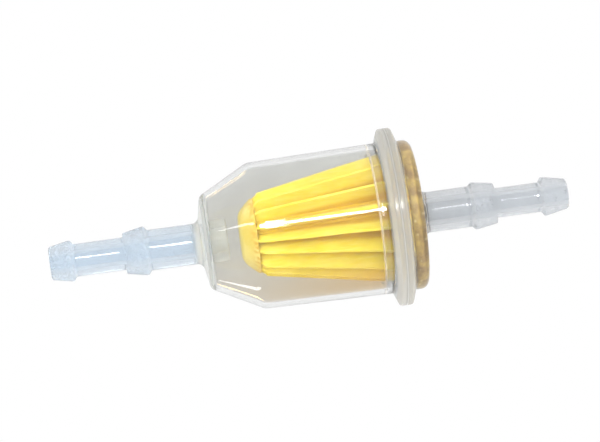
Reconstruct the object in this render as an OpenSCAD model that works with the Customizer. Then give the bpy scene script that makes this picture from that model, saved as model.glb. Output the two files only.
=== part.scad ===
// In-line fuel filter for small engines. Two clear mouldings, a bowl and a cap, are welded at a
// flange around a cone of pleated paper. Each has a stepped stem that takes either of two hoses.
// Fuel enters the bowl, passes through the paper from outside to inside, and leaves by the cap.
// The flow axis is X, from inlet to outlet. The origin is on it, halfway between the two ends.

/* [Inlet stem] */
// Diameter of the neck, which the smaller hose grips
inlet_neck_d = 6.6; // [5.4:0.1:8]
// Diameter of the root, which the larger hose grips
inlet_root_d = 8.2; // [7.2:0.1:10]
// Height of the tip barb over the neck
inlet_tip_bite = 0.8; // [0.4:0.05:1.2]
// Height of the step barb over the root
inlet_step_bite = 0.8; // [0.4:0.05:1.2]
// Length of the tip barb
inlet_tip_len = 5; // [3.5:0.1:8]
// Length of the neck
inlet_neck_len = 10; // [5:0.5:16]
// Length of the step barb
inlet_step_len = 5; // [3.5:0.1:8]
// Length of the root, from the step barb to the end plate
inlet_root_len = 10.3; // [6:0.1:18]

/* [Outlet stem] */
// Diameter of the neck, which the smaller hose grips
outlet_neck_d = 6; // [5:0.1:8]
// Diameter of the root, which the larger hose grips
outlet_root_d = 8.2; // [7.2:0.1:10]
// Height of the tip barb over the neck
outlet_tip_bite = 0.9; // [0.4:0.05:1.2]
// Height of the step barb over the root
outlet_step_bite = 0.65; // [0.4:0.05:1.2]
// Length of the tip barb
outlet_tip_len = 5.6; // [3.5:0.1:8]
// Length of the neck
outlet_neck_len = 9.1; // [5:0.5:16]
// Length of the step barb
outlet_step_len = 5.1; // [3.5:0.1:8]
// Length of the root, from the step barb to the dome
outlet_root_len = 9.7; // [6:0.1:18]

/* [Both stems] */
// Length of the straight crest on each barb
barb_land = 0.5; // [0.3:0.1:1]
// Length of the steep back of each barb
barb_back = 0.6; // [0.3:0.1:1]
// Radius on the edge of each end
tip_round = 0.4; // [0.2:0.1:0.8]
// Diameter of the flow passage in the necks
neck_bore_d = 2.8; // [2:0.1:4]
// Diameter of the flow passage in the roots
root_bore_d = 3.6; // [2.8:0.1:5]
// Length of the taper between the two passages
bore_taper = 1.6; // [0.8:0.1:3]
// Fillet where a root meets the housing
root_fillet = 1.3; // [0.6:0.1:2]

/* [Bowl] */
// Outside diameter at the flange
body_d = 30.5; // [24:0.5:40]
// Length of the straight body, from the cone to the flange
body_len = 26; // [16:0.5:45]
// Draft of the body, in degrees a side
body_draft = 1; // [0.5:0.1:2]
// Length of the cone between the end plate and the body
cone_len = 10.3; // [6:0.1:16]
// Diameter of the end plate
plate_d = 18.7; // [15:0.1:23]
// How far the end plate is dished
plate_dish = 0.9; // [0.3:0.1:1.5]
// Radius on the edges at both ends of the cone
shoulder_round = 0.8; // [0.4:0.1:1.2]
// Wall of the body and the cone
wall = 1.1; // [0.8:0.05:1.5]
// Wall of the end plate and of the dome
end_wall = 1.1; // [0.8:0.05:1.6]
// Length of the inlet nozzle inside the bowl
nozzle_len = 4.6; // [2:0.1:7]
// Wall of the inlet nozzle
nozzle_wall = 2.5; // [1.2:0.1:3]

/* [Flange] */
// Height of the flange over the body
flange_h = 2.7; // [1.8:0.1:4]
// Width of the flange's rim
rim_w = 2.4; // [1.6:0.1:4]
// Length of the bevel on each side of the rim
flange_bevel = 1; // [0.5:0.1:2]
// Thickness of the weld between the two halves
weld_t = 0.3; // [0.2:0.05:0.6]
// How far the weld stays back from the rim
weld_inset = 0.05; // [0:0.05:0.3]

/* [Cap] */
// How much smaller than the bowl the cap's side is, on the radius
cap_step = 0.15; // [0:0.05:1]
// Length of the cap's straight side beyond the flange
cap_side = 1.2; // [0.6:0.1:4]
// Radius between the side and the dome
cap_round = 1.4; // [0.8:0.1:2]
// Rise of the dome
dome_rise = 0.9; // [0.3:0.1:2]
// Length of the skirt that enters the bowl
skirt_len = 3.9; // [1.2:0.1:6]
// Wall of the skirt
skirt_wall = 0.75; // [0.6:0.05:1.2]
// Gap between the skirt and the bowl, on the radius
skirt_gap = 0.1; // [0.05:0.05:0.2]
// Wall of the collar that keeps the adhesive out of the outlet
collar_wall = 0.9; // [0.7:0.1:1.5]
// Gap between the collar and the folds of the paper, on the radius
collar_gap = 0.2; // [0.1:0.05:0.5]

/* [Paper cone] */
// Number of pleats
pleats = 18; // [14:1:20]
// Thickness of the paper
paper_t = 0.4; // [0.3:0.05:0.5]
// Depth of the pleats at the wide end
wide_depth = 4.4; // [3:0.1:5]
// Depth of the pleats at the narrow end
narrow_depth = 2.7; // [2:0.1:3]
// Width of the flat along the crest of a pleat
crest_w = 0.9; // [0.8:0.05:1.1]
// How far the pleats stand proud of the tip, on the radius
pleat_proud = 0.7; // [0.3:0.1:1.2]
// Length over which the ends of the pleats are pinched down to the tip
pinch_len = 1; // [0.6:0.1:2]
// Gap between the pleats and the skirt, on the radius
pleat_gap = 0.1; // [0.05:0.05:0.3]
// Depth of the glue in the seam where the paper's two edges meet
seam_depth = 1.4; // [0.8:0.1:1.8]

/* [Tip and adhesive] */
// Distance from the inlet nozzle to the tip
tip_gap = 2.5; // [1.5:0.1:5]
// Length of the tip in front of the pleats
tip_len = 3.8; // [2.5:0.1:6]
// Diameter of the tip's front face
tip_front_d = 9.6; // [7:0.1:12]
// Diameter of the tip where the pleats begin
tip_base_d = 15.2; // [12.6:0.1:18.3]
// Radius on the tip's front edge
tip_edge = 1.2; // [0.6:0.1:2]
// Length of the plug that enters the paper
plug_len = 2.6; // [1.5:0.1:5]
// Gap between the plug and the folds of the paper, on the radius
plug_gap = 0.05; // [0.05:0.05:0.2]
// Depth of the adhesive in the cap
glue_depth = 2.8; // [1.8:0.1:4]
// Gap between the end of the paper and the dome
seat_gap = 0.5; // [0.2:0.1:1]

/* [Hidden] */
ROUND_FN = 96;
ARC_STEPS = 6;

// Each stem: neck radius, root radius, the two barb heights, and its four lengths from the tip
INLET = [inlet_neck_d / 2, inlet_root_d / 2, inlet_tip_bite, inlet_step_bite,
    inlet_tip_len, inlet_neck_len, inlet_step_len, inlet_root_len];
OUTLET = [outlet_neck_d / 2, outlet_root_d / 2, outlet_tip_bite, outlet_step_bite,
    outlet_tip_len, outlet_neck_len, outlet_step_len, outlet_root_len];
function stem_len(s) = s[4] + s[5] + s[6] + s[7];

// Places along the axis, from the inlet end
plate_x = stem_len(INLET);
shoulder_x = plate_x + plate_dish;
body_x = shoulder_x + cone_len;
flange_x = body_x + body_len;
rim_x = flange_x + flange_bevel;
weld_x = rim_x + (rim_w - weld_t) / 2;
cap_x = rim_x + rim_w + flange_bevel;
dome_x = cap_x + cap_side + cap_round;
outlet_x = dome_x + dome_rise;
total_len = outlet_x + stem_len(OUTLET);

// Housing radii
body_r = body_d / 2;
plate_r = plate_d / 2;
rim_r = body_r + flange_h;
cap_r = body_r - cap_step;
function body_r_at(x) = body_r - (flange_x - x) * tan(body_draft);
mouth_r = body_r - wall;
skirt_r = mouth_r - skirt_gap;
well_r = skirt_r - skirt_wall;
neck_bore_r = neck_bore_d / 2;
root_bore_r = root_bore_d / 2;
nozzle_r = root_bore_r + nozzle_wall;

// Cone of the bowl, and the inside corners that run parallel to it
cone_a = atan2(body_r_at(body_x) - plate_r, cone_len);
inner_plate_x = shoulder_x + end_wall;
inner_plate_r = plate_r + end_wall * tan(cone_a) - wall / cos(cone_a);
inner_body_x = body_x + wall * tan(cone_a / 2);
nozzle_x = plate_x + end_wall + nozzle_len;

// Dome of the cap: a shallow cone outside, and the same cone inside one wall further in
dome_r = cap_r - cap_round;
function dome_x_at(r) = dome_x + dome_rise * (dome_r - r) / (dome_r - OUTLET[1]);
function ceiling_x_at(r) = dome_x_at(r) - end_wall;

// Paper cone: where it starts, ends and folds
tip_x = nozzle_x + tip_gap;
paper_x = tip_x + tip_len;
wide_r = well_r - pleat_gap;
pinch_r = tip_base_d / 2;
narrow_r = pinch_r + pleat_proud;
wide_fold_r = wide_r - wide_depth;
narrow_fold_r = narrow_r - narrow_depth;
paper_end_x = ceiling_x_at(wide_r) - seat_gap;
glue_x = ceiling_x_at(well_r) - glue_depth;
plug_r = narrow_fold_r - paper_t - plug_gap;
fold_slope = (wide_fold_r - narrow_fold_r) / (paper_end_x - paper_x);
// Stations along the paper: place, crest radius and fold radius
STATIONS = [
    [paper_x, pinch_r, narrow_fold_r],
    [paper_x + pinch_len, narrow_r, narrow_fold_r + pinch_len * fold_slope],
    [paper_end_x, wide_r, wide_fold_r]];
// The station where the paper enters the adhesive
GLUE_STATION = let (a = STATIONS[1], b = STATIONS[2]) a + (b - a) * (glue_x - a[0]) / (b[0] - a[0]);
collar_r = GLUE_STATION[2] - paper_t - collar_gap;

// Points of an arc about [cx, cr], from angle a to angle b
function arc(cx, cr, r, a, b) =
    [for (i = [0:ARC_STEPS]) let (t = a + (b - a) * i / ARC_STEPS) [cx + r * cos(t), cr + r * sin(t)]];

// A corner between three points, rounded with radius r
function corner(p, q, s, r) =
    let (u = (p - q) / norm(p - q), v = (s - q) / norm(s - q),
        half = acos(u * v) / 2, m = (u + v) / norm(u + v), c = q + m * r / sin(half),
        side = u[0] * v[1] - u[1] * v[0] > 0 ? 1 : -1,
        a = atan2(-m[1], -m[0]), spread = side * (90 - half))
    [for (i = [0:ARC_STEPS]) c + r * [cos(a + spread - 2 * spread * i / ARC_STEPS),
        sin(a + spread - 2 * spread * i / ARC_STEPS)]];

// Outline of a barbed stem, as [distance from the tip, radius], up to its root
function stem(s) = let (neck = s[0], root = s[1], a = s[4], b = a + s[5], c = b + s[6])
    concat(
        arc(tip_round, neck - tip_round, tip_round, 180, 90),
        [[a - barb_back - barb_land, neck + s[2]], [a - barb_back, neck + s[2]], [a, neck]],
        [[b, neck], [b, root], [c - barb_back - barb_land, root + s[3]]],
        [[c - barb_back, root + s[3]], [c, root]]);

// Passage through a stem, as [distance from the tip, radius], from its root to the tip
function passage(s) = let (b = s[4] + s[5])
    [[b + bore_taper, root_bore_r], [b, neck_bore_r], [0, neck_bore_r]];

// Turns an outline of [place along the axis, radius] about the flow axis
module turned(outline)
    rotate([0, 90, 0])
        translate([0, 0, -total_len / 2])
            rotate_extrude($fn = ROUND_FN)
                polygon([for (p = outline) [p[1], p[0]]]);

function from_outlet(outline) = [for (p = outline) [total_len - p[0], p[1]]];

// A point of a pleat: pleat number i, radius r, distance w to the side of its middle line
function at(x, r, w, i) = let (a = 360 * i / pleats)
    [x - total_len / 2, r * sin(a) + w * cos(a), r * cos(a) - w * sin(a)];

// Half widths of a pleat's flats, on the side that faces out and on the one that faces in. The two
// skins of a sloping leg stand this much further apart across the pleat than the paper is thick.
LEG_SHARE = 1.04;
crest_out = crest_w / 2;
crest_in = crest_out - paper_t * LEG_SHARE;

// One ring of the paper's skin: station s, and the skin that faces out or the one that faces in
function ring(s, outside) = let (
        rc = s[1] - (outside ? 0 : paper_t), rf = s[2] - (outside ? 0 : paper_t),
        wc = outside ? crest_out : crest_in, wf = outside ? crest_in : crest_out)
    [for (i = [0:pleats - 1]) each [at(s[0], rc, -wc, i), at(s[0], rc, wc, i),
        at(s[0], rf, -wf, i + 0.5), at(s[0], rf, wf, i + 0.5)]];

// Two triangles for each side between point rows a and b of n points each
function band(a, b, n) = [for (i = [0:n - 1]) let (j = (i + 1) % n)
    each [[a + i, a + j, b + j], [a + i, b + j, b + i]]];

module bowl() {
    root = [plate_x, INLET[1]];
    plate = [shoulder_x, plate_r];
    body = [body_x, body_r_at(body_x)];
    flange = [flange_x, body_r];
    color("aliceblue", 0.45)
        turned(concat(
            stem(INLET),
            corner([plate_x - INLET[7], INLET[1]], root, plate, root_fillet),
            corner(root, plate, body, shoulder_round),
            corner(plate, body, flange, shoulder_round),
            [flange, [rim_x, rim_r], [weld_x, rim_r]],
            [[weld_x, mouth_r], [inner_body_x, body_r_at(inner_body_x) - wall]],
            [[inner_plate_x, inner_plate_r], [plate_x + end_wall, nozzle_r]],
            [[nozzle_x, nozzle_r], [nozzle_x, root_bore_r]],
            passage(INLET)));
}

module cap() {
    face_x = weld_x + weld_t;
    root = [outlet_x, OUTLET[1]];
    color("aliceblue", 0.45)
        turned(concat(
            from_outlet(stem(OUTLET)),
            corner([outlet_x + OUTLET[7], OUTLET[1]], root, [dome_x, dome_r], root_fillet),
            [[dome_x, dome_r]],
            arc(dome_x - cap_round, dome_r, cap_round, 0, 90),
            [[cap_x, cap_r], [rim_x + rim_w, rim_r], [face_x, rim_r], [face_x, skirt_r]],
            [[weld_x - skirt_len, skirt_r], [weld_x - skirt_len, well_r]],
            [[ceiling_x_at(well_r), well_r], [ceiling_x_at(collar_r), collar_r]],
            [[glue_x, collar_r], [glue_x, collar_r - collar_wall]],
            [[ceiling_x_at(collar_r - collar_wall), collar_r - collar_wall]],
            [[ceiling_x_at(root_bore_r), root_bore_r]],
            from_outlet(passage(OUTLET))));
}

// The melted and set plastic that joins the two halves of the flange
module weld_seam() color("whitesmoke", 0.7)
    turned([[weld_x, mouth_r], [weld_x, rim_r - weld_inset],
        [weld_x + weld_t, rim_r - weld_inset], [weld_x + weld_t, mouth_r]]);

module filter_paper() {
    n = 4 * pleats;
    last = len(STATIONS) - 1;
    skins = concat([for (s = STATIONS) ring(s, true)], [for (s = STATIONS) ring(s, false)]);
    color("gold")
        polyhedron(
            points = [for (skin = skins) each skin],
            faces = concat(
                [for (k = [0:last - 1]) each band(k * n, (k + 1) * n, n)],
                [for (k = [0:last - 1]) each band((last + k + 2) * n, (last + k + 1) * n, n)],
                band((last + 1) * n, 0, n),
                band(last * n, (2 * last + 1) * n, n)),
            convexity = 10);
}

// The bead of glue inside one crest, where the two edges of the folded sheet meet. It runs from the
// pinched end to the adhesive: a wedge that reaches halfway into the paper, less the paper itself.
module paper_seam() {
    bite = paper_t / 2;
    // Half width of the wedge at station s, at a depth d under the crest
    function half_w(s, d) = let (rc = s[1] - paper_t, rf = s[2] - paper_t, a = 180 / pleats,
            fold = [rf * cos(a) + crest_out * sin(a), rf * sin(a) - crest_out * cos(a)])
        crest_in + (fold[1] - crest_in) * d / (rc - fold[0]) + bite;
    points = [for (s = [STATIONS[1], GLUE_STATION]) let (r = s[1] - paper_t, w = half_w(s, seam_depth))
        each [at(s[0], r + bite, -half_w(s, 0), 0), at(s[0], r + bite, half_w(s, 0), 0),
            at(s[0], r - seam_depth, w, 0), at(s[0], r - seam_depth, -w, 0)]];
    color("khaki")
        difference() {
            polyhedron(points = points,
                faces = concat(band(0, 4, 4), [[0, 2, 1], [0, 3, 2], [4, 5, 6], [4, 6, 7]]));
            filter_paper();
        }
}

module element_tip() {
    front = [tip_x, tip_front_d / 2];
    base = [paper_x, pinch_r];
    color("gold")
        turned(concat(
            [[tip_x, 0]],
            corner([tip_x, 0], front, base, tip_edge),
            [base, [paper_x, plug_r], [paper_x + plug_len, plug_r], [paper_x + plug_len, 0]]));
}

// Adhesive that fills the well of the cap, with the edge of the paper sunk in it
module potting() color("peru")
    difference() {
        turned([[glue_x, collar_r], [glue_x, well_r],
            [ceiling_x_at(well_r), well_r], [ceiling_x_at(collar_r), collar_r]]);
        filter_paper();
    }

bowl();
cap();
weld_seam();
filter_paper();
paper_seam();
element_tip();
potting();
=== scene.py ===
import math
import random

import bmesh
import bpy
from mathutils import Matrix, Vector, noise


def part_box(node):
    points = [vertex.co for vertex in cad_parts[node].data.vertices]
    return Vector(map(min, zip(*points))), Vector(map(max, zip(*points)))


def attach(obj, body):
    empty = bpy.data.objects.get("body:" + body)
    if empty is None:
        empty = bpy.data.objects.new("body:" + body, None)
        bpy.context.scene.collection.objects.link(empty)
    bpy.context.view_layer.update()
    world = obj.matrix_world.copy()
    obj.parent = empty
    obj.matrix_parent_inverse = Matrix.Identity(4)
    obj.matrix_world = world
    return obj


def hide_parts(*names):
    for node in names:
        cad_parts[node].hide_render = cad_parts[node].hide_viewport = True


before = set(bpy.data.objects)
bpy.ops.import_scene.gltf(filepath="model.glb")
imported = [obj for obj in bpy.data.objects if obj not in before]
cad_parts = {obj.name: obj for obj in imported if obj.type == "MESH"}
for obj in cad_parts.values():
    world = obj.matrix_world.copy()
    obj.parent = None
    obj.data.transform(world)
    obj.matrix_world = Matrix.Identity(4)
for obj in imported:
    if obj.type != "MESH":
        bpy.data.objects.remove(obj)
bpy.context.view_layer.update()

# ---- Bowl -------------------------------------------------------------------------------------
# The clear half that takes the fuel in: a nylon moulding with its barbed stem, dished end plate,
# cone and body in one wall, and one half of the flange that it is welded to the cap by.

mm = 0.001


def stem(neck, root, tip_bite, step_bite, tip_len, neck_len, step_len):
    """Outline of a barbed stem, as (distance from its tip, radius, reach of its rounding). A barb
    stands out of the stem by its bite, and has a narrow land and a sloping back."""
    land, back = 0.5 * mm, 0.6 * mm
    tip_end, neck_end = tip_len, tip_len + neck_len
    step_end = neck_end + step_len
    return [
        (0, neck, 0.4 * mm),
        (tip_end - back - land, neck + tip_bite, 0.2 * mm),
        (tip_end - back, neck + tip_bite, 0.15 * mm),
        (tip_end, neck, 0.2 * mm),
        (neck_end, neck, 0.15 * mm),
        (neck_end, root, 0.2 * mm),
        (step_end - back - land, root + step_bite, 0.2 * mm),
        (step_end - back, root + step_bite, 0.15 * mm),
        (step_end, root, 0.2 * mm),
    ]


def finish_mesh(name, bm, crease=35):
    """Makes the bmesh a smooth-shaded piece that rides on the only body. Faces that meet at more
    than crease degrees keep a sharp edge."""
    mesh = bpy.data.meshes.new(name)
    bm.to_mesh(mesh)
    bm.free()
    mesh.shade_smooth()
    mesh.set_sharp_from_angle(angle=math.radians(crease))
    piece = bpy.data.objects.new(name, mesh)
    bpy.context.scene.collection.objects.link(piece)
    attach(piece, "root")
    return piece


def turned(name, outline, steps=160):
    """Spins an outline of (place along the axis, radius, reach of its rounding) about the axis.
    An outline that starts and ends on the axis is a solid; any other is a closed ring."""
    bm = bmesh.new()
    row = [bm.verts.new((x, 0, r)) for x, r, _ in outline]
    solid = outline[0][1] == 0
    for a, b in zip(row, row[1:] + ([] if solid else row[:1])):
        bm.edges.new((a, b))
    for reach in sorted({k for _, _, k in outline if k > 0}):
        corners = [v for v, (_, _, k) in zip(row, outline) if k == reach]
        bmesh.ops.bevel(bm, geom=corners, offset=reach, offset_type="OFFSET", segments=4,
                        profile=0.5, affect="VERTICES", material=-1)
    longest = 1.2 * mm
    for run in [e for e in bm.edges if e.calc_length() > longest]:
        bmesh.ops.subdivide_edges(bm, edges=[run], cuts=int(run.calc_length() / longest))
    bmesh.ops.spin(bm, geom=bm.verts[:] + bm.edges[:], cent=(0, 0, 0), axis=(1, 0, 0),
                   angle=math.tau, steps=steps, use_merge=True)
    bmesh.ops.remove_doubles(bm, verts=bm.verts, dist=1e-7)
    bmesh.ops.recalc_face_normals(bm, faces=bm.faces)
    return finish_mesh(name, bm)


class Value:
    """An output of a finish's nodes, with the arithmetic that its patterns use."""

    def __init__(self, finish, socket):
        self.finish, self.socket = finish, socket

    def maths(self, operation, a, b):
        return self.finish.node("ShaderNodeMath", {"operation": operation}, {0: a, 1: b})

    def __add__(self, other):
        return self.maths("ADD", self, other)

    __radd__ = __add__

    def __sub__(self, other):
        return self.maths("SUBTRACT", self, other)

    def __rsub__(self, other):
        return self.maths("SUBTRACT", other, self)

    def __mul__(self, other):
        return self.maths("MULTIPLY", self, other)

    __rmul__ = __mul__


class Finish:
    """A node material, built one node at a time."""

    def __init__(self, name):
        self.material = bpy.data.materials.new(name)
        self.material.use_nodes = True
        self.nodes = self.material.node_tree.nodes
        self.links = self.material.node_tree.links
        self.nodes.clear()

    def node(self, kind, settings=None, sockets=None, output=0):
        """A node of a kind, its settings made first, then its sockets set or linked."""
        made = self.nodes.new(kind)
        for key, setting in (settings or {}).items():
            setattr(made, key, setting)
        for key, value in (sockets or {}).items():
            if isinstance(value, Value):
                self.links.new(value.socket, made.inputs[key])
            elif isinstance(value, tuple) and len(value) == 3 and made.inputs[key].type == "RGBA":
                made.inputs[key].default_value = (*value, 1)
            else:
                made.inputs[key].default_value = value
        return Value(self, made.outputs[output] if made.outputs else None)

    def place(self, output="Object"):
        """Where a point of the surface lies, in the frame that all the pieces share."""
        return self.node("ShaderNodeTexCoord", output=output)

    def along(self, way):
        """A place's distance along one axis, X, Y or Z."""
        return self.node("ShaderNodeSeparateXYZ", {}, {0: self.place()}, way)

    def radius(self):
        """A place's distance from the flow axis."""
        across = self.node("ShaderNodeVectorMath", {"operation": "MULTIPLY"},
                           {0: self.place(), 1: (0, 1, 1)})
        return self.node("ShaderNodeVectorMath", {"operation": "LENGTH"}, {0: across}, "Value")

    def ramp(self, value, low, high, to_low=0.0, to_high=1.0):
        """value, from low to high, turned smoothly to to_low to to_high."""
        return self.node("ShaderNodeMapRange", {"interpolation_type": "SMOOTHSTEP"},
                         {0: value, 1: low, 2: high, 3: to_low, 4: to_high})

    def straight(self, value, low, high, to_low, to_high):
        """value, from low to high, turned evenly to to_low to to_high."""
        return self.node("ShaderNodeMapRange", {},
                         {0: value, 1: low, 2: high, 3: to_low, 4: to_high})

    def band(self, value, start, end, soft):
        """1 where value is between start and end, with edges that fade over twice soft."""
        return self.ramp(value, start - soft, start + soft) - self.ramp(
            value, end - soft, end + soft)

    def grain(self, scale, detail=2.0, stretch=(1, 1, 1), rough=0.5):
        """Noise of a pattern's scale, in features a metre, stretched along the axes."""
        placed = self.node("ShaderNodeMapping", {}, {"Vector": self.place(), "Scale": stretch})
        return self.node("ShaderNodeTexNoise", {},
                         {"Vector": placed, "Scale": scale, "Detail": detail,
                          "Roughness": rough})

    def tint(self, factor, a, b):
        """Colour a where factor is 0, colour b where it is 1."""
        return self.node("ShaderNodeMix", {"data_type": "RGBA"},
                         {0: factor, 6: a, 7: b}, 2)

    def bump(self, height, strength, distance):
        """Unevenness of a height pattern, as normals, distance deep in metres."""
        return self.node("ShaderNodeBump", {},
                         {"Height": height, "Strength": strength, "Distance": distance})

    def ray(self, kind):
        """1 or more for light of a kind, and 0 for all the rest."""
        return self.node("ShaderNodeLightPath", output=kind)

    def mirrored(self):
        """1 for light that a glossy surface reflects."""
        return self.ray("Is Glossy Ray") * self.ray("Is Reflection Ray")

    def level(self, kind, otherwise, strength):
        """strength for light of a kind, and another strength for all the rest."""
        return self.node("ShaderNodeMix", {}, {0: kind, 2: otherwise, 3: strength})

    def skin(self, **sockets):
        """The shader, with its sockets by name."""
        return self.node("ShaderNodeBsdfPrincipled", {},
                         {key.replace("_", " "): value for key, value in sockets.items()})

    def surface(self, shader):
        """Puts the shader on the surface, and gives the finished material."""
        self.node("ShaderNodeOutputMaterial", {}, {"Surface": shader})
        return self.material


bowl_lo, bowl_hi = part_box("bowl")
cap_lo, cap_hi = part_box("cap")
inlet_tip, weld_face, rim_r = bowl_lo.x, bowl_hi.x, bowl_hi.z

inlet_len, plate_dish, cone_len, body_len = 30.3 * mm, 0.9 * mm, 10.3 * mm, 26 * mm
rim_slope, rim_half, weld_w = 1 * mm, 1.05 * mm, 0.3 * mm
plate_x = inlet_tip + inlet_len
shoulder_x = plate_x + plate_dish
body_x = shoulder_x + cone_len
flange_x = body_x + body_len
rim_x = flange_x + rim_slope
root_r, plate_r, body_r = 4.1 * mm, 9.35 * mm, 15.25 * mm
tip_barb_len, neck_len, step_barb_len = 5 * mm, 10 * mm, 5 * mm
bore_r, root_bore_r, bore_taper = 1.4 * mm, 1.8 * mm, 1.6 * mm
inlet_neck_end = inlet_tip + tip_barb_len + neck_len
draft = math.tan(math.radians(1))
body_start_r = body_r - (flange_x - body_x) * draft
wall, end_wall = 1.1 * mm, 1.1 * mm
mouth_r = body_r - wall
cone = math.atan2(body_start_r - plate_r, body_x - shoulder_x)
inner_plate_r = plate_r + end_wall * math.tan(cone) - wall / math.cos(cone)
inner_body_x = body_x + wall * math.tan(cone / 2)
nozzle_len, nozzle_r = 4.6 * mm, 4.3 * mm
nozzle_end = plate_x + end_wall + nozzle_len

bowl_outline = [(inlet_tip + d, r, k) for d, r, k in stem(
    neck=3.3 * mm, root=root_r, tip_bite=0.8 * mm, step_bite=0.8 * mm,
    tip_len=tip_barb_len, neck_len=neck_len, step_len=step_barb_len)]
bowl_outline += [
    (plate_x, root_r, 1.1 * mm),
    (shoulder_x, plate_r, 0.7 * mm),
    (body_x, body_start_r, 0.6 * mm),
    (flange_x, body_r, 0.35 * mm),
    (rim_x, rim_r, 0.3 * mm),
    (weld_face, rim_r, 0.03 * mm),
    (weld_face, mouth_r, 0.1 * mm),
    (inner_body_x, body_start_r - wall, 0.6 * mm),
    (shoulder_x + end_wall, inner_plate_r, 0.5 * mm),
    (plate_x + end_wall, nozzle_r, 0.35 * mm),
    (nozzle_end, nozzle_r, 0.3 * mm),
    (nozzle_end, root_bore_r, 0.3 * mm),
    (inlet_neck_end + bore_taper, root_bore_r, 0.5 * mm),
    (inlet_neck_end, bore_r, 0.5 * mm),
    (inlet_tip, bore_r, 0.15 * mm),
]
bowl = turned("clear_bowl", bowl_outline)
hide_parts("bowl")


def clear_nylon(name, tip_x, sense, stem_len, stem_milk, stem_tint, wall_tint, painted_bounce_tint):
    """Clear nylon with a faint milkiness, more of it in the thick stems, the end plate and the
    flange, where the plastic cooled slowly, and with shallow flow waves from moulding. Each mask
    is 1 on the part of the moulding that it is named after."""
    nylon = Finish(name)
    x = nylon.along("X")
    radius = nylon.radius()

    reach = sense * (x - tip_x)
    soft = 0.2 * mm
    step_at = tip_barb_len + neck_len
    stems = 1 - nylon.ramp(reach, stem_len - 1.2 * mm, stem_len + soft)
    barbs = nylon.band(reach, step_at, step_at + step_barb_len, soft)
    barbs = barbs + 1 - nylon.ramp(reach, tip_barb_len - soft, tip_barb_len + 2 * soft)

    past_plate = nylon.ramp(x, shoulder_x + 0.3 * mm, shoulder_x + 1.2 * mm)
    plate = nylon.ramp(x, plate_x - 1.6 * mm, plate_x - 0.4 * mm) * (1 - past_plate)
    nozzle = past_plate * (1 - nylon.ramp(x, nozzle_end, nozzle_end + 1 * mm))
    nozzle = nozzle * (1 - nylon.ramp(radius, nozzle_r + 0.1 * mm, nozzle_r + 0.7 * mm))

    flange_end = rim_x + 2 * rim_half + weld_w
    flange = nylon.ramp(x, flange_x - 0.2 * mm, flange_x + 0.5 * mm)
    flange = flange - nylon.ramp(x, flange_end, flange_end + 1.2 * mm)
    flange = flange * nylon.ramp(radius, mouth_r, mouth_r + 0.8 * mm)

    outer_r = nylon.straight(x, shoulder_x, body_x, plate_r, body_start_r)
    outer_r = outer_r + nylon.straight(x, body_x, flange_x, 0.0, body_r - body_start_r)
    inner = nylon.ramp(outer_r - radius, 0.3 * wall, 0.8 * wall)
    inner = inner * nylon.ramp(radius, nozzle_r + 0.3 * mm, nozzle_r + 1.5 * mm)
    inner = inner * nylon.ramp(x, shoulder_x + 0.3 * mm, shoulder_x + 1.6 * mm)
    inner = inner * (1 - 0.95 * nylon.ramp(x, cap_lo.x - 0.4 * mm, cap_lo.x + 0.4 * mm))
    # Painted warm bounce light: the lower wall's inner face takes a warm tint, standing in for
    # yellow light that the paper throws down on it.
    low = nylon.ramp(nylon.along("Z"), -3 * mm, -11 * mm)
    low = low * nylon.ramp(x, shoulder_x, flange_x, 0.35, 1.0)

    # The skirt's edge is made milky and warm. The line is the real edge, and its warm colour is a
    # painted reflection of the yellow paper seen through it.
    skirt_edge_painted_reflection = nylon.band(x, cap_lo.x - 0.1 * mm, cap_lo.x + 0.4 * mm, 0.1 * mm)
    skirt_edge_painted_reflection = skirt_edge_painted_reflection * (
        nylon.ramp(radius, mouth_r - 1 * mm, mouth_r - 0.9 * mm)
        - nylon.ramp(radius, mouth_r - 0.08 * mm, mouth_r - 0.03 * mm))

    cloud = nylon.grain(160, 3)
    specks = nylon.grain(2600, 2)
    milk = 0.004 + 0.02 * cloud + (0.18 + 0.16 * specks) * stems + 0.66 * flange
    milk = milk + 0.05 * barbs + 0.36 * plate + 0.28 * nozzle + 0.25 * skirt_edge_painted_reflection
    waves = nylon.grain(70, 2, (0.5, 1, 1)) * (1 - 0.9 * stems) + 0.012 * specks
    ripple = nylon.bump(waves, 0.2, 0.2 * mm)

    haze = nylon.ramp(nylon.grain(75, 2), 0.38, 0.62)
    hazy = nylon.tint(haze, tuple(0.94 * c for c in wall_tint),
                      tuple(1.06 * c for c in wall_tint))
    clear = nylon.tint(stems, (0.93, 0.935, 0.925), stem_tint)
    # Inside, the lower wall gets the painted warm bounce light.
    clear = nylon.tint(inner, clear, nylon.tint(low, hazy, painted_bounce_tint))
    glass = nylon.skin(Base_Color=clear, Roughness=0.03 + 0.03 * stems + 0.12 * barbs, IOR=1.53,
                       Transmission_Weight=1.0, Normal=ripple)

    white = nylon.tint(flange, stem_milk, (0.62, 0.60, 0.54))
    white = nylon.tint(plate + nozzle, white, (0.83, 0.845, 0.81))
    # The warm colour at the skirt's edge is a painted reflection of the yellow paper.
    white = nylon.tint(skirt_edge_painted_reflection, white, (0.95, 0.78, 0.50))
    milky = nylon.skin(Base_Color=white, Roughness=0.15 + 0.12 * (plate + flange + barbs),
                       IOR=1.53, Normal=ripple)
    return nylon.surface(nylon.node("ShaderNodeMixShader", {}, {0: milk, 1: glass, 2: milky}))


# The last tint is painted warm bounce light on the lower wall.
bowl.data.materials.append(clear_nylon(
    "bowl_nylon", tip_x=inlet_tip, sense=1, stem_len=inlet_len,
    stem_milk=(0.60, 0.675, 0.74), stem_tint=(0.74, 0.795, 0.85),
    wall_tint=(0.64, 0.64, 0.61), painted_bounce_tint=(0.66, 0.45, 0.18)))

# ---- Cap --------------------------------------------------------------------------------------
# The clear half that lets the fuel out: the other half of the flange, a low dome and a barbed
# stem. Its skirt enters the bowl, and with the collar makes a well that holds the adhesive.

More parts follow.
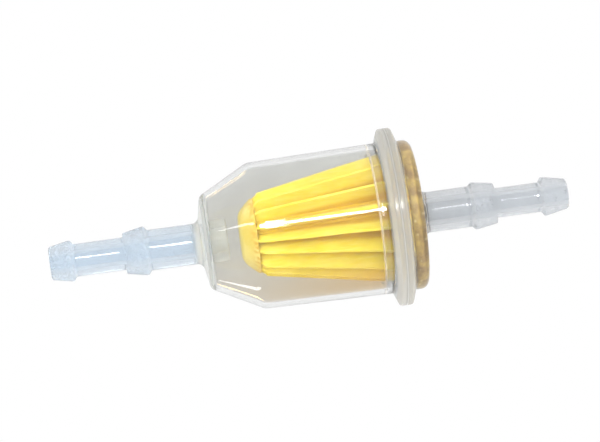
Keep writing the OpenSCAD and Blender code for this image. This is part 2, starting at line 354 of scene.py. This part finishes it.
outlet_tip = cap_hi.x
outlet_barb_len, outlet_neck_len, outlet_step_len = 5.6 * mm, 9.1 * mm, 5.1 * mm
outlet_neck_end = outlet_tip - outlet_barb_len - outlet_neck_len
cap_face = weld_face + weld_w
cap_rim_x = cap_face + rim_half
cap_side_x = cap_rim_x + rim_slope
cap_side_len, cap_corner, dome_rise = 1.2 * mm, 1.4 * mm, 0.9 * mm
cap_r = body_r - 0.15 * mm
dome_edge_x, dome_edge_r = cap_side_x + cap_side_len + cap_corner, cap_r - cap_corner
outlet_root_x = dome_edge_x + dome_rise
skirt_gap, skirt_wall = 0.1 * mm, 0.75 * mm
skirt_r = mouth_r - skirt_gap
well_r = skirt_r - skirt_wall
glue_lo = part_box("potting")[0]
collar_r, collar_in_r = 8.0 * mm, 7.1 * mm


def ceiling_at(r):
    """Place of the dome's inner face at a radius."""
    return dome_edge_x + dome_rise * (dome_edge_r - r) / (dome_edge_r - root_r) - end_wall


cap_outline = [(outlet_tip - d, r, k) for d, r, k in stem(
    neck=3.0 * mm, root=root_r, tip_bite=0.9 * mm, step_bite=0.65 * mm,
    tip_len=outlet_barb_len, neck_len=outlet_neck_len, step_len=outlet_step_len)]
cap_outline += [
    (outlet_root_x, root_r, 1.1 * mm),
    (dome_edge_x, cap_r, 1.35 * mm),
    (cap_side_x, cap_r, 0.3 * mm),
    (cap_rim_x, rim_r, 0.3 * mm),
    (cap_face, rim_r, 0.03 * mm),
    (cap_face, skirt_r, 0.1 * mm),
    (cap_lo.x, skirt_r, 0.15 * mm),
    (cap_lo.x, well_r, 0.15 * mm),
    (ceiling_at(well_r), well_r, 0.3 * mm),
    (ceiling_at(collar_r), collar_r, 0.2 * mm),
    (glue_lo.x, collar_r, 0.2 * mm),
    (glue_lo.x, collar_in_r, 0.2 * mm),
    (ceiling_at(collar_in_r), collar_in_r, 0.3 * mm),
    (ceiling_at(root_bore_r), root_bore_r, 0.3 * mm),
    (outlet_neck_end - bore_taper, root_bore_r, 0.5 * mm),
    (outlet_neck_end, bore_r, 0.5 * mm),
    (outlet_tip, bore_r, 0.15 * mm),
]
cap = turned("clear_cap", cap_outline)
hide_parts("cap")
# The last tint is a faint painted warm bounce light on the lower wall.
cap.data.materials.append(clear_nylon(
    "cap_nylon", tip_x=outlet_tip, sense=-1, stem_len=outlet_tip - outlet_root_x,
    stem_milk=(0.57, 0.60, 0.63), stem_tint=(0.77, 0.785, 0.80),
    wall_tint=(0.94, 0.935, 0.92), painted_bounce_tint=(0.94, 0.92, 0.88)))

# ---- Weld -------------------------------------------------------------------------------------
# The ring of nylon that melted and set between the two halves of the flange, with a thin bead
# of flash standing just proud of the rim.

contact = 0.02 * mm
flash = 0.015 * mm
weld_in_r = mouth_r + 0.2 * mm
weld = turned("weld_ring", [
    (weld_face + contact, weld_in_r, 0.05 * mm),
    (weld_face + contact, rim_r + flash, 0.04 * mm),
    (cap_face - contact, rim_r + flash, 0.04 * mm),
    (cap_face - contact, weld_in_r, 0.05 * mm),
])
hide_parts("weld_seam")

melt = Finish("weld_nylon")
froth = melt.grain(900, 3)
weld.data.materials.append(melt.surface(melt.skin(
    Base_Color=melt.tint(froth, (0.50, 0.495, 0.46), (0.58, 0.575, 0.54)),
    Roughness=0.35, IOR=1.53, Normal=melt.bump(froth, 0.5, 0.1 * mm))))

# ---- Filter paper -----------------------------------------------------------------------------
# One sheet of resin-treated yellow paper, folded into eighteen pleats and closed to a cone. Its
# narrow end is pinched on to the tip, and its wide end is sunk in the cap's adhesive.

paper_lo, paper_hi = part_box("filter_paper")
tip_lo, tip_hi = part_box("element_tip")
pleats, paper_t, crest_half, fold_round = 18, 0.4 * mm, 0.26 * mm, 0.08 * mm
wide_r, wide_fold_r = 13.14 * mm, 8.8 * mm
pinch_r, narrow_r, narrow_fold_r = 7.55 * mm, 8.3 * mm, 5.6 * mm
pinch_len, full_share = 1.0 * mm, 0.84
paper_start = paper_lo.x - 0.7 * mm
paper_len = paper_hi.x - paper_start
fold_turn = math.tau / pleats
folds = range(2 * pleats)

hand = random.Random(11)
stray, deepest_sink, waver_turn = math.radians(2.2), 0.25 * mm, math.radians(0.7)
lean_wide = [hand.uniform(-1, 1) * stray for _ in folds]
lean_narrow = [hand.uniform(-1, 1) * stray for _ in folds]
sink = [hand.uniform(0, 1) * deepest_sink for _ in folds]
waver = [hand.uniform(0, 100) for _ in folds]

# Every crest lies over the same way, except the one that is glued.
lie_wide, lie_narrow = math.radians(4.4), math.radians(3.2)
seam_lo, seam_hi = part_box("paper_seam")
seam_at = (seam_lo + seam_hi) / 2
seam_fold = 2 * round(math.atan2(seam_at.y, seam_at.z) % math.tau / fold_turn) % len(folds)
for fold in folds[::2]:
    if fold != seam_fold:
        lean_wide[fold] -= lie_wide
        lean_narrow[fold] -= lie_narrow


def pleat_point(corner, share):
    """A fold's corner, four a pleat, at a share of the paper's length."""
    fold = corner // 2
    crest = fold % 2 == 0
    side = -1 if corner % 2 == 0 else 1
    pinch = min(1, share * paper_len / pinch_len)
    if crest:
        r = narrow_r + (wide_r - narrow_r) * min(1, share / full_share) - sink[fold]
        r -= (narrow_r - pinch_r) * (1 - pinch) ** 2
    else:
        r = narrow_fold_r + (wide_fold_r - narrow_fold_r) * share
    lean = lean_narrow[fold] * (1 - share) + lean_wide[fold] * share
    unevenness = noise.noise((5 * share, waver[fold], 0)) * math.sin(math.pi * share)
    lean += waver_turn * unevenness
    turn = fold_turn * fold / 2 + lean
    across = side * crest_half
    return Vector((paper_start + share * paper_len,
                   r * math.sin(turn) + across * math.cos(turn),
                   r * math.cos(turn) - across * math.sin(turn)))


bm = bmesh.new()
bmesh.ops.create_circle(bm, segments=4 * pleats, radius=wide_r)
bm.verts.ensure_lookup_table()
corner_of = bm.verts.layers.int.new("corner")
row_of = bm.verts.layers.int.new("row")
for number, vert in enumerate(bm.verts):
    vert[corner_of] = number
shares = [0, 0.4 * pinch_len / paper_len, pinch_len / paper_len]
first, steps = 0.1, 10
shares += [first + (1 - first) * step / steps for step in range(steps + 1)]
ring = bm.edges[:]
for row, share in enumerate(shares):
    if row:
        grown = bmesh.ops.extrude_edge_only(bm, edges=ring)["geom"]
        ring = [e for e in grown if isinstance(e, bmesh.types.BMEdge)]
    for vert in {v for e in ring for v in e.verts}:
        vert[row_of] = row
        vert.co = pleat_point(vert[corner_of], share)
bmesh.ops.recalc_face_normals(bm, faces=bm.faces)
lengthwise = [e for e in bm.edges if e.verts[0][row_of] != e.verts[1][row_of]]
bmesh.ops.bevel(bm, geom=lengthwise, offset=fold_round, offset_type="OFFSET", segments=2,
                profile=0.5, affect="EDGES", material=-1)
if sum(f.normal.dot(Vector((0, *f.calc_center_median().yz))) for f in bm.faces) < 0:
    bmesh.ops.reverse_faces(bm, faces=bm.faces)
paper = finish_mesh("pleated_paper", bm, crease=15)
thickness = paper.modifiers.new("thickness", "SOLIDIFY")
thickness.thickness, thickness.offset = paper_t, -1
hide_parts("filter_paper")

sheet = Finish("yellow_filter_paper")
fibres = sheet.grain(700, 6, (0.35, 1, 1), 0.65)
blotches = sheet.grain(140, 3, (0.4, 1, 1))
laid = sheet.grain(2600, 2, (0.08, 1, 1))
yellow = sheet.tint(sheet.ramp(fibres, 0.3, 0.7), (0.90, 0.70, 0.025), (0.95, 0.81, 0.075))
yellow = sheet.tint(0.4 * sheet.ramp(laid, 0.4, 0.75), yellow, (0.97, 0.85, 0.25))
yellow = sheet.tint(0.3 * sheet.ramp(blotches, 0.35, 0.75), yellow, (0.96, 0.84, 0.22))
crest_r = sheet.straight(sheet.along("X"), paper_start, paper_start + full_share * paper_len,
                         narrow_r, wide_r)
# Painted shade: the paper darkens to a deep orange down in the folds, where the crests shade it.
painted_fold_shade = sheet.ramp(crest_r - sheet.radius(), 2.0 * mm, 3.4 * mm)
yellow = sheet.tint(0.75 * painted_fold_shade, yellow, (0.74, 0.46, 0.01))
# The paper turns a deeper orange from just before the skirt's edge on into the cap.
orange_from_skirt = sheet.ramp(sheet.along("X"), cap_lo.x - 1 * mm, cap_lo.x + 3 * mm)
yellow = sheet.tint(0.3 * orange_from_skirt, yellow, (0.93, 0.58, 0.10))
dirt = sheet.node("ShaderNodeTexVoronoi", {}, {"Vector": sheet.place(), "Scale": 120.0})
yellow = sheet.tint(sheet.ramp(dirt, 0.02, 0.045, 0.8, 0.0), yellow, (0.30, 0.20, 0.03))
paper.data.materials.append(sheet.surface(sheet.skin(
    Base_Color=yellow, Roughness=0.75, Specular_IOR_Level=0.25, Sheen_Weight=0.1,
    Normal=sheet.bump(fibres + 0.5 * laid, 0.5, 0.2 * mm))))

# ---- Side seam --------------------------------------------------------------------------------
# The bead of glue inside one crest, where the folded sheet's two edges meet. It holds the sheet
# closed as a cone, and hardly shows.

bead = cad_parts["paper_seam"]
glue = Finish("seam_glue")
strings = glue.grain(900, 3, (0.3, 1, 1))
bead.data.materials.clear()
bead.data.materials.append(glue.surface(glue.skin(
    Base_Color=glue.tint(strings, (0.75, 0.6, 0.2), (0.85, 0.75, 0.4)), Roughness=0.4,
    Normal=glue.bump(strings, 0.3, 0.1 * mm))))

# ---- Tip --------------------------------------------------------------------------------------
# A plug of cast yellow resin that closes the paper's narrow end. Its blunt cone stands out in
# front of the paper, and its round plug reaches in between the folds.

front_r, base_r, plug_r = 4.8 * mm, 7.6 * mm, 5.15 * mm
lip_len, lip_step = 0.6 * mm, 0.35 * mm
tip = turned("resin_tip", [
    (tip_lo.x, 0, 0),
    (tip_lo.x, front_r, 1.1 * mm),
    (paper_start - lip_len, base_r - lip_step, 0.3 * mm),
    (paper_start, base_r, 0.15 * mm),
    (paper_start, plug_r, 0.1 * mm),
    (tip_hi.x, plug_r, 0.3 * mm),
    (tip_hi.x, 0, 0),
], steps=108)
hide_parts("element_tip")

resin = Finish("tip_resin")
edge = resin.ramp(resin.along("X"), paper_start - 1.6 * mm, paper_start - 0.2 * mm)
clouds = resin.grain(260, 3)
pits = resin.grain(1500, 3)
tip.data.materials.append(resin.surface(resin.skin(
    Base_Color=resin.tint(
        resin.ramp(pits, 0.42, 0.56) * edge,
        resin.tint(resin.ramp(clouds, 0.3, 0.7), (0.77, 0.58, 0.085), (0.89, 0.74, 0.215)),
        (0.74, 0.45, 0.04)),
    Roughness=0.42, Normal=resin.bump(clouds + 0.5 * pits, 0.5, 0.35 * mm))))

# ---- Adhesive ---------------------------------------------------------------------------------
# Amber adhesive poured into the cap's well. It wets the skirt, the dome and the collar, and the
# wide end of the paper is set in it.

wet = 0.03 * mm
potting = turned("adhesive", [
    (glue_lo.x, collar_r - wet, 0.1 * mm),
    (glue_lo.x, well_r + wet, 0.1 * mm),
    (ceiling_at(well_r) + wet, well_r + wet, 0.3 * mm),
    (ceiling_at(collar_r) + wet, collar_r - wet, 0.2 * mm),
])
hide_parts("potting")

amber = Finish("amber_adhesive")
pools = amber.grain(380, 6, rough=0.65)
bubbles = amber.node("ShaderNodeTexVoronoi", {}, {"Vector": amber.place(), "Scale": 700.0})
brown = amber.tint(amber.ramp(pools, 0.35, 0.7), (0.215, 0.135, 0.057), (0.46, 0.33, 0.10))
brown = amber.tint(amber.ramp(bubbles, 0.0, 0.3, 0.7, 0.0), brown, (0.66, 0.54, 0.3))
potting.data.materials.append(amber.surface(amber.skin(
    Base_Color=brown, Roughness=0.35, Normal=amber.bump(pools, 0.2, 0.2 * mm))))

# ---- Studio -----------------------------------------------------------------------------------
# A plain white floor that the flange rests on, inside a white surround. Narrow lamps in front,
# above and below give the plastic its streaks and the fine lines that run along its cone.

floor_half = 3
bm = bmesh.new()
bmesh.ops.create_grid(bm, x_segments=1, y_segments=1, size=floor_half,
                      matrix=Matrix.Translation((0, 0, -rim_r - flash)))
floor_mesh = bpy.data.meshes.new("floor")
bm.to_mesh(floor_mesh)
bm.free()
floor = bpy.data.objects.new("floor", floor_mesh)
bpy.context.scene.collection.objects.link(floor)
floor.visible_diffuse = floor.visible_glossy = floor.visible_shadow = False
ground = Finish("white_floor")
glow = ground.level(ground.ray("Diffuse Depth"), 1.0, 2.5)
glow = ground.level(ground.mirrored(), glow, 0.8)
floor_mesh.materials.append(ground.surface(
    ground.node("ShaderNodeEmission", {}, {"Color": (1, 1, 1), "Strength": glow})))

world = bpy.data.worlds.new("surround")
bpy.context.scene.world = world
world.use_nodes = True


class Surround(Finish):
    """The studio's surround, made of nodes like a finish."""

    def __init__(self, studio):
        self.nodes, self.links = studio.node_tree.nodes, studio.node_tree.links
        self.nodes.clear()

    def towards(self, direction):
        """1 at the middle of the side that lies in a direction, 0 a quarter turn from it."""
        return self.node("ShaderNodeVectorMath", {"operation": "DOT_PRODUCT"},
                         {0: self.place("Generated"), 1: direction}, "Value")


# The surround has one strength as seen through the plastic, others as it lights what stands
# outside and inside the plastic, and another as gloss mirrors it.
walls = Surround(world)
up = walls.towards((0, 0, 1))
window = walls.towards((-0.15, -0.70, 0.70))
front = walls.towards((-0.05, -0.97, 0.24))
through = walls.ramp(up, -0.2, 0.6, 0.9, 1.0)
outside = walls.ramp(up, -0.6, 0.7, 1.45, 1.15)
inside = 2.3 + walls.ramp(window, 0.55, 0.98, 0.0, 5.0)
fill = walls.level(walls.ray("Is Transmission Ray"), outside, inside)
strength = walls.level(walls.ray("Diffuse Depth"), through, fill)
strength = walls.level(walls.mirrored(), strength, walls.ramp(front, 0.0, 0.8, 0.8, 0.12))
strength = walls.level(walls.ray("Is Camera Ray"), strength, 1.0)
walls.node("ShaderNodeOutputWorld", {}, {"Surface": walls.node(
    "ShaderNodeBackground", {}, {"Color": (1, 1, 1), "Strength": strength})})

azimuth, elevation, roll = math.radians(3), math.radians(14), math.radians(7.04)
distance, aim = 0.57, Vector((-1.73 * mm, 0, 1.78 * mm))


def seen_from(turn, rise):
    """Direction from the object towards a place that is turned left of its front and raised."""
    return Vector((-math.sin(turn) * math.cos(rise), -math.cos(turn) * math.cos(rise),
                   math.sin(rise)))


lens = bpy.data.cameras.new("camera")
lens.lens, lens.sensor_width = 170.3, 36
lens.clip_start, lens.clip_end = 0.01, 20
camera = bpy.data.objects.new("camera", lens)
bpy.context.scene.collection.objects.link(camera)
bpy.context.scene.camera = camera
towards = seen_from(azimuth, elevation)
upright = towards.to_track_quat("Z", "Y").to_matrix()
camera.matrix_world = (Matrix.Translation(aim + distance * towards)
                       @ (upright @ Matrix.Rotation(-roll, 3, "Z")).to_4x4())

lamp_distance, white_light, golden_light = 0.8, (1, 1, 1), (1, 0.68, 0.3)


def soft_light(name, from_x, to_x, size_y, power, turn=0, rise=28, shape="RECTANGLE",
               colour=white_light):
    """A lamp that shows only in gloss and through the plastic. It faces the object from a turn
    and a rise in degrees, and spans from_x to to_x across the way it faces."""
    lamp = bpy.data.lights.new(name, "AREA")
    lamp.shape, lamp.size, lamp.size_y = shape, to_x - from_x, size_y
    lamp.energy, lamp.color = power, colour
    holder = bpy.data.objects.new(name, lamp)
    bpy.context.scene.collection.objects.link(holder)
    way = seen_from(math.radians(turn), math.radians(rise))
    holder.matrix_world = (Matrix.Translation(lamp_distance * way)
                           @ way.to_track_quat("Z", "Y").to_matrix().to_4x4()
                           @ Matrix.Translation(((from_x + to_x) / 2, 0, 0)))
    holder.visible_diffuse = False
    holder.visible_camera = False


soft_light("patch", -0.012, 0.0017, size_y=0.15, power=0.22)
soft_light("line", -0.082, -0.008, size_y=0.075, power=0.58)
soft_light("far_line", 0.1, 0.175, size_y=0.03, power=0.09)
soft_light("rim", 0.077, 0.093, size_y=0.3, power=0.5)
soft_light("streak", -0.045, 0.075, size_y=0.05, power=0.45, shape="ELLIPSE")
soft_light("cone_line", -0.05, 0.05, size_y=0.035, power=0.075, turn=57, rise=24)
soft_light("cone_glint", -0.06, 0.06, size_y=0.014, power=0.05, turn=157, rise=29,
           colour=golden_light)
soft_light("low_line", -0.06, 0.07, size_y=0.035, power=0.1, turn=97, rise=-58)
soft_light("low_glint", -0.07, 0.07, size_y=0.018, power=0.09, turn=136, rise=-56,
           colour=golden_light)

bpy.context.scene.view_settings.view_transform = "Standard"
bpy.context.scene.cycles.max_bounces = 32
bpy.context.scene.cycles.transmission_bounces = 32
